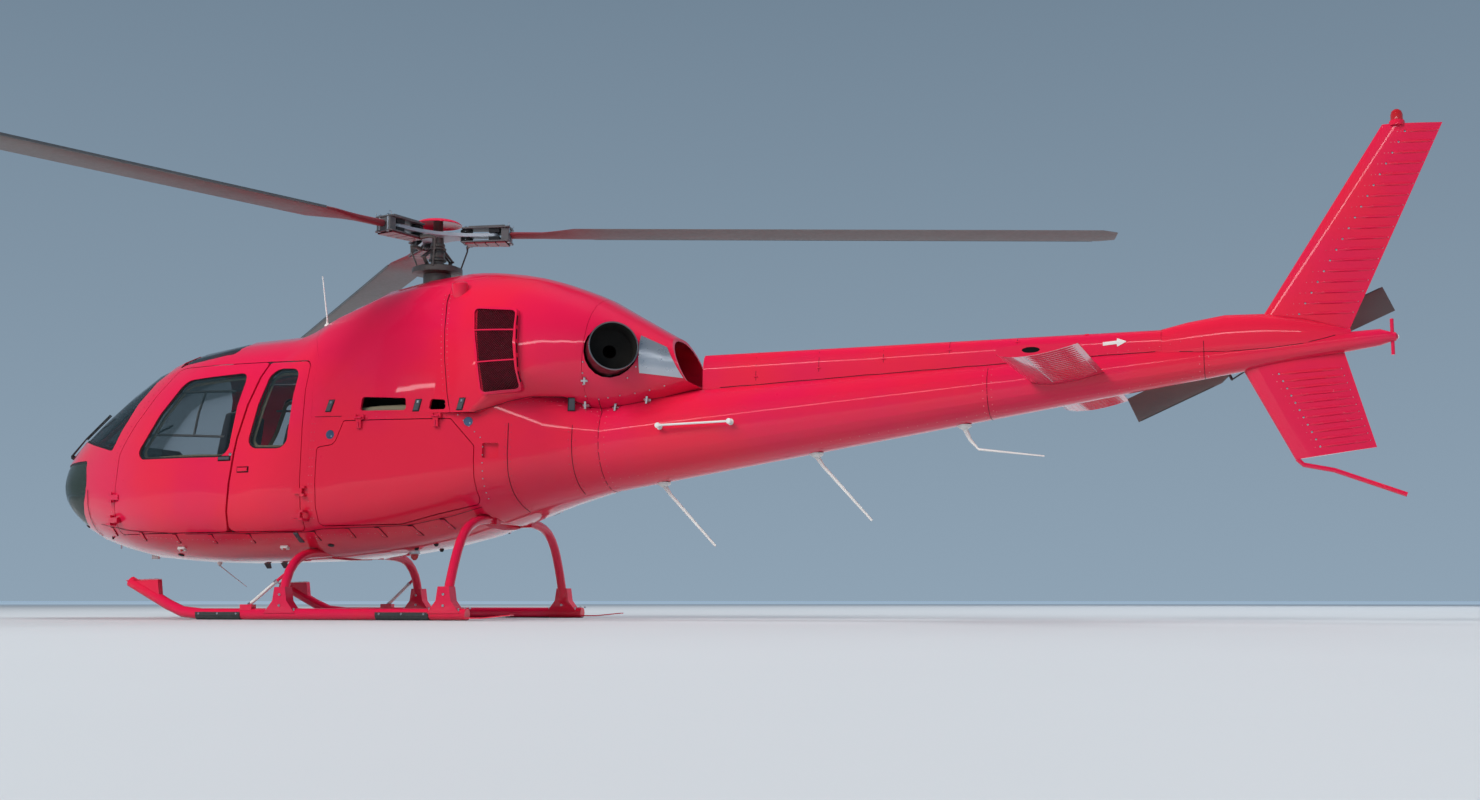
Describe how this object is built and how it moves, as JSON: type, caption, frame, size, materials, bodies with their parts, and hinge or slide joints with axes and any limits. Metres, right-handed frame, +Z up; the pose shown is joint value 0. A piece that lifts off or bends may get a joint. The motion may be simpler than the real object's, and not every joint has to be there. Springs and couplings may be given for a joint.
{
  "type": "light single-rotor helicopter",
  "caption": "Light single-rotor helicopter on skids, with hinged cabin and baggage doors, a turning main rotor and a tail rotor on a slim boom.",
  "frame": {"origin": "top face of the raised tread plate of the cabin floor, on the plane of symmetry, just ahead of the rear bench", "axes": "+X aft along the fuselage, +Y to starboard, +Z up"},
  "size_m": [11.2248, 9.1222, 3.4],
  "materials": {
    "red_paint": "gloss red paint",
    "bare_metal": "machined, satin",
    "dark_metal": "heat-darkened sheet",
    "glazing": "clear, slightly tinted",
    "matt_black": "matt black",
    "floor_grey": "matt grey",
    "seat_cloth": "woven dark cloth",
    "blade_grey": "satin grey paint",
    "red_lens": "red lens"
  },
  "bodies": {
    "airframe": {"cabin_shell": "red_paint", "centre_fuselage": "red_paint", "cabin_floor": "floor_grey", "cabin_bulkhead": "floor_grey", "instrument_console": "matt_black", "windscreen_left": "glazing", "windscreen_right": "glazing", "chin_window_left": "glazing", "chin_window_right": "glazing", "roof_window_left": "glazing", "roof_window_right": "glazing", "front_seat_left": "seat_cloth", "front_seat_right": "seat_cloth", "rear_bench": "seat_cloth", "main_gearbox": "bare_metal", "engine_left": "bare_metal", "engine_right": "bare_metal", "transmission_cowl": "red_paint", "engine_cowl": "red_paint", "rear_fairing": "red_paint", "side_intake_left": "red_paint", "side_intake_right": "red_paint", "exhaust_pipe_left": "dark_metal", "exhaust_pipe_right": "dark_metal", "tail_boom": "red_paint", "drive_shaft_cover": "red_paint", "tail_gearbox_fairing": "red_paint", "stabiliser": "red_paint", "upper_fin": "red_paint", "lower_fin": "red_paint", "beacon": "red_lens", "tail_lamp": "red_paint", "skid_left": "red_paint", "skid_right": "red_paint", "front_cross_tube": "red_paint", "rear_cross_tube": "red_paint", "swashplate": "bare_metal"},
    "main_rotor": {"rotor_head": "bare_metal", "main_blade_1": "blade_grey", "main_blade_2": "blade_grey", "main_blade_3": "blade_grey"},
    "tail_rotor": {"tail_rotor": "blade_grey"},
    "front_door_left": {"front_door_left": "red_paint", "front_door_glass_left": "glazing"},
    "rear_door_left": {"rear_door_left": "red_paint", "rear_door_glass_left": "glazing"},
    "baggage_door_left": {"baggage_door_left": "red_paint"},
    "front_door_right": {"front_door_right": "red_paint", "front_door_glass_right": "glazing"},
    "rear_door_right": {"rear_door_right": "red_paint", "rear_door_glass_right": "glazing"},
    "baggage_door_right": {"baggage_door_right": "red_paint"}
  },
  "joints": [
    {"name": "main_rotor_spin", "type": "hinge", "parent": "airframe", "child": "main_rotor", "pos_m": [1.266, 0, 2.405], "axis": [0, 0, -1], "continuous": true},
    {"name": "tail_rotor_spin", "type": "hinge", "parent": "airframe", "child": "tail_rotor", "pos_m": [7.5, 0.36, 1.2], "axis": [0, 1, 0], "continuous": true},
    {"name": "front_door_left_hinge", "type": "hinge", "parent": "airframe", "child": "front_door_left", "pos_m": [-1.17, -0.75809, 0.32], "axis": [0, 0, -1], "range_deg": [0, 75]},
    {"name": "rear_door_left_hinge", "type": "hinge", "parent": "airframe", "child": "rear_door_left", "pos_m": [0.685, -0.93655, 0.32], "axis": [0, 0.0698, 0.9976], "range_deg": [0, 75]},
    {"name": "baggage_door_left_hinge", "type": "hinge", "parent": "airframe", "child": "baggage_door_left", "pos_m": [1.13, -0.88975, 0.852], "axis": [-0.9921, -0.1252, 0], "range_deg": [0, 80]},
    {"name": "front_door_right_hinge", "type": "hinge", "parent": "airframe", "child": "front_door_right", "pos_m": [-1.17, 0.75809, 0.32], "axis": [0, 0, 1], "range_deg": [0, 75]},
    {"name": "rear_door_right_hinge", "type": "hinge", "parent": "airframe", "child": "rear_door_right", "pos_m": [0.685, 0.93655, 0.32], "axis": [0, 0.0698, -0.9976], "range_deg": [0, 75]},
    {"name": "baggage_door_right_hinge", "type": "hinge", "parent": "airframe", "child": "baggage_door_right", "pos_m": [1.13, 0.88975, 0.852], "axis": [0.9921, -0.1252, 0], "range_deg": [0, 80]}
  ],
  "couplings": [
    {"joint": "tail_rotor_spin", "follows": "main_rotor_spin", "ratio": 5.3}
  ]
}
